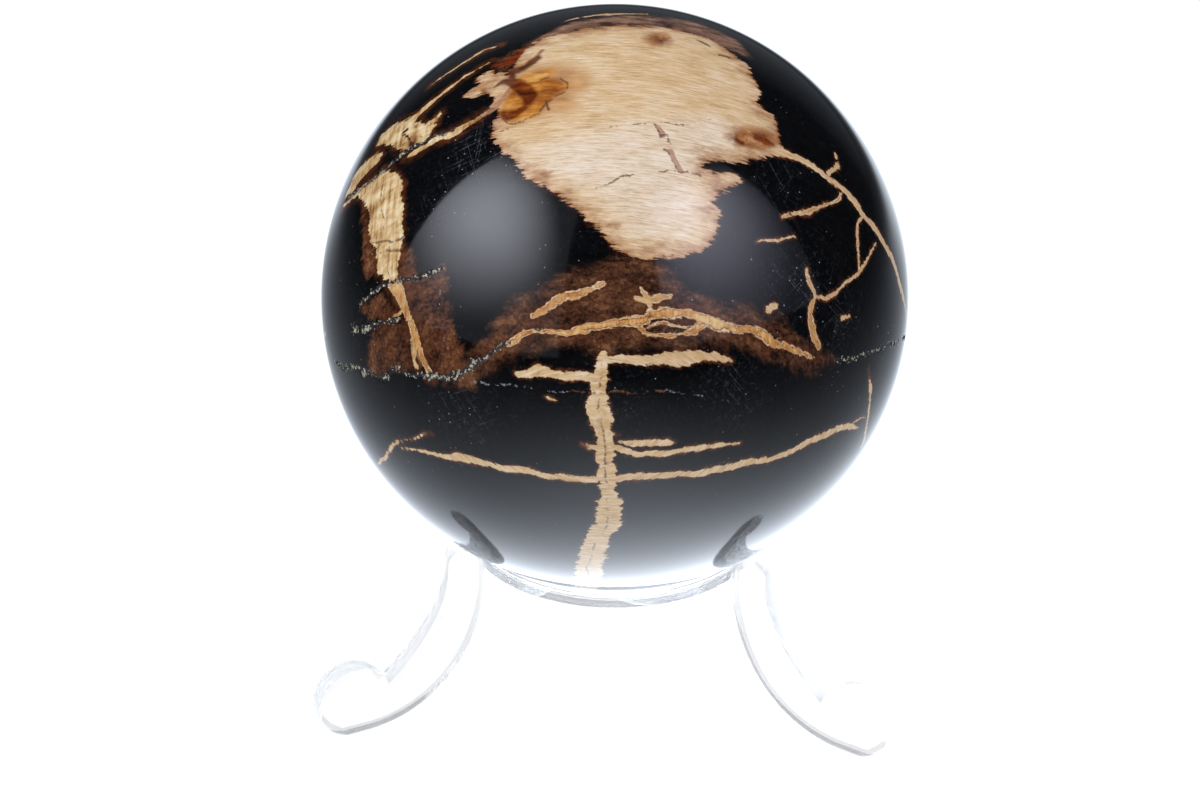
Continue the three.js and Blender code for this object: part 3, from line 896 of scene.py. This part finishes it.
def stage_piece(name, form, shown_to, level, hex_code, *facts):
    """A glowing piece of the studio that only some rays see.

    Level is a number, or a function that makes nodes for it from the facts given."""
    piece = piece_from(form, name)
    for ray in ("camera", "diffuse", "glossy", "transmission", "shadow"):
        setattr(piece, f"visible_{ray}", ray in shown_to)
    material = new_material(name)
    tree = material.node_tree
    strength = level(tree, *facts) if callable(level) else level
    light = add(tree, "Emission", {"Color": colour(hex_code), "Strength": strength})
    add(tree, "OutputMaterial", {"Surface": light})
    piece.data.materials.append(material)
    return piece


# The sweep is plain white to the camera. It and the tables lie a hair under the toes, each at
# a height of its own.
SWEEP_RADIUS, WHITE_LEVEL = 6.0, 1.03
SWEEP_Z, LIT_TABLE_Z, CLEAR_TABLE_Z = -0.07 * MM, -0.10 * MM, -0.05 * MM
stage_piece("white_sweep", disc(SWEEP_RADIUS, SWEEP_Z), ("camera",), WHITE_LEVEL, "#ffffff")

# What the stone mirrors of the table: it is brightest under and just behind the part, and again
# in a strip far behind. Each glow: its middle from the ball's axis and its reach, both in mm,
# its level, and how steeply it ends.
GLOWS = [((6.2, 16.7), (22.0, 42.5), 7.3, 1.10), ((0.0, 185.0), (120.0, 85.0), 1.15, 3.0)]
TABLE_RADIUS, TABLE_LEAST = 0.6, 0.03


def table_level(tree):
    spot = add(tree, "TexCoord").outputs["Object"]
    level = TABLE_LEAST
    for (aside, behind), (reach_x, reach_y), peak, steepness in GLOWS:
        middle = (ball_centre.x + aside * MM, ball_centre.y + behind * MM, 0)
        away = add(tree, "VectorMath", {0: spot, 1: middle}, operation="SUBTRACT")
        away = add(tree, "VectorMath",
                   {0: away, 1: (1 / (reach_x * MM), 1 / (reach_y * MM), 0)}, operation="MULTIPLY")
        square = add(tree, "VectorMath", {0: away, 1: away},
                     operation="DOT_PRODUCT").outputs["Value"]
        fall = add(tree, "Math", {0: square, 1: steepness}, operation="POWER")
        fall = add(tree, "Math", {0: fall, 1: 1.0}, operation="ADD")
        glow = add(tree, "Math", {0: peak, 1: fall}, operation="DIVIDE")
        level = add(tree, "Math", {0: glow, 1: level}, operation="ADD")
    return level


stage_piece("lit_table", disc(TABLE_RADIUS, LIT_TABLE_Z), ("glossy",), table_level, "#e3ecf8")

# Through the clear stand a white table shows in a dim room. The table is dim too where an inner
# face has turned the view, which draws the stand's edges.
CLEAR_RADIUS, ROOM_RADIUS = 0.2, 8.0
TURNED_LEVEL, SEEN_LOW, SEEN_HIGH = 0.06, 0.15, 0.05


def clear_table_level(tree):
    path = add(tree, "LightPath")
    turned = add(tree, "Math", {0: path.outputs["Glossy Depth"], 1: 0.5}, operation="GREATER_THAN")
    return add(tree, "Mix", {0: turned, 2: WHITE_LEVEL, 3: TURNED_LEVEL})


def room_level(tree, axis, start, end, first, last):
    """Fades from a first to a last level along an axis. Start and end are shares of the radius."""
    spot = add(tree, "TexCoord").outputs["Object"]
    axes = add(tree, "SeparateXYZ", {0: spot})
    return add(tree, "MapRange", {
        "Value": axes.outputs[axis], "From Min": start * ROOM_RADIUS, "From Max": end * ROOM_RADIUS,
        "To Min": first, "To Max": last})


stage_piece("clear_table", disc(CLEAR_RADIUS, CLEAR_TABLE_Z), ("transmission",),
            clear_table_level, "#ffffff")
stage_piece("clear_room", shell(ROOM_RADIUS), ("transmission",), room_level, "#f4f7fb",
            "Z", -0.15, 0.25, SEEN_LOW, SEEN_HIGH)

# The stone mirrors a dark room too, a little less dark straight behind the part.
ROOM_LEVEL, BACK_LEVEL = 0.02, 0.15
stage_piece("dark_room", shell(ROOM_RADIUS), ("glossy",), room_level, "#dfe8f5",
            "Y", 0.8, 1.0, ROOM_LEVEL, BACK_LEVEL)

# An upright soft box 1 m from the ball, brightest at its hot spot. Its azimuth is seen from the
# ball, 0 towards +Y. Edges, hot spot and reaches (aside, above, below) are in metres, and the
# heights are counted from the ball's middle.
SOFT_BOXES = [
    ("soft_box_left", -120, -4, (-0.95, 0.55), (0.0, 2.3), (0.05, 0.84), (0.95, 1.15, 0.80), 5.6,
     "#eef2ff"),
    ("soft_box_right", 120, 4, (-0.56, 0.80), (0.1, 2.2), (0.18, 1.25), (0.90, 0.90, 1.35), 4.0,
     "#e6e8ff"),
]
DIM_SHARE = 0.05


def box_level(tree, hot, beside, above, below, peak):
    spot = add(tree, "TexCoord").outputs["Object"]
    away = add(tree, "VectorMath", {0: spot, 1: (*hot, 0)}, operation="SUBTRACT")
    axes = add(tree, "SeparateXYZ", {0: away})
    aside = add(tree, "Math", {0: axes.outputs["X"], 1: beside}, operation="DIVIDE")
    upper = add(tree, "Math", {0: axes.outputs["Y"], 1: above}, operation="DIVIDE")
    lower = add(tree, "Math", {0: axes.outputs["Y"], 1: -below}, operation="DIVIDE")
    upright = add(tree, "Math", {0: upper, 1: lower}, operation="MAXIMUM")
    far = add(tree, "CombineXYZ", {0: aside, 1: upright})
    far = add(tree, "VectorMath", {0: far}, operation="LENGTH")
    return add(tree, "MapRange", {"Value": far, "To Min": peak, "To Max": peak * DIM_SHARE},
               interpolation_type="SMOOTHSTEP")


for name, azimuth, roll, sides, heights, hot, reaches, peak, hex_code in SOFT_BOXES:
    turn = math.radians(azimuth)
    form = bmesh.new()
    bmesh.ops.create_grid(form, x_segments=1, y_segments=1, size=0.5)
    bmesh.ops.scale(form, verts=form.verts, vec=(sides[1] - sides[0], heights[1] - heights[0], 1))
    bmesh.ops.translate(form, verts=form.verts, vec=(sum(sides) / 2, sum(heights) / 2, 0))
    box = stage_piece(name, form, ("diffuse", "glossy", "transmission"), box_level, hex_code,
                      hot, *reaches, peak)
    box.location = ball_centre + Vector((math.sin(turn), math.cos(turn), 0))
    upright_turn = Euler((math.pi / 2, 0, -turn)).to_matrix()
    box.rotation_euler = (upright_turn @ Matrix.Rotation(math.radians(roll), 3, "Z")).to_euler()

# Soft light comes from all round, and past the sweep the camera sees the same plain white.
SOFT_LIGHT_LEVEL = 0.72
world = bpy.data.worlds.new("studio")
world.use_nodes = True
world.node_tree.nodes.clear()
path = add(world.node_tree, "LightPath")
strength = add(world.node_tree, "Mix",
               {0: path.outputs["Is Camera Ray"], 2: SOFT_LIGHT_LEVEL, 3: WHITE_LEVEL})
white = add(world.node_tree, "Background", {"Color": colour("#ffffff"), "Strength": strength})
add(world.node_tree, "OutputWorld", {"Surface": white})
bpy.context.scene.world = world
bpy.context.scene.view_settings.view_transform = "Standard"
bpy.context.scene.view_settings.look = "None"
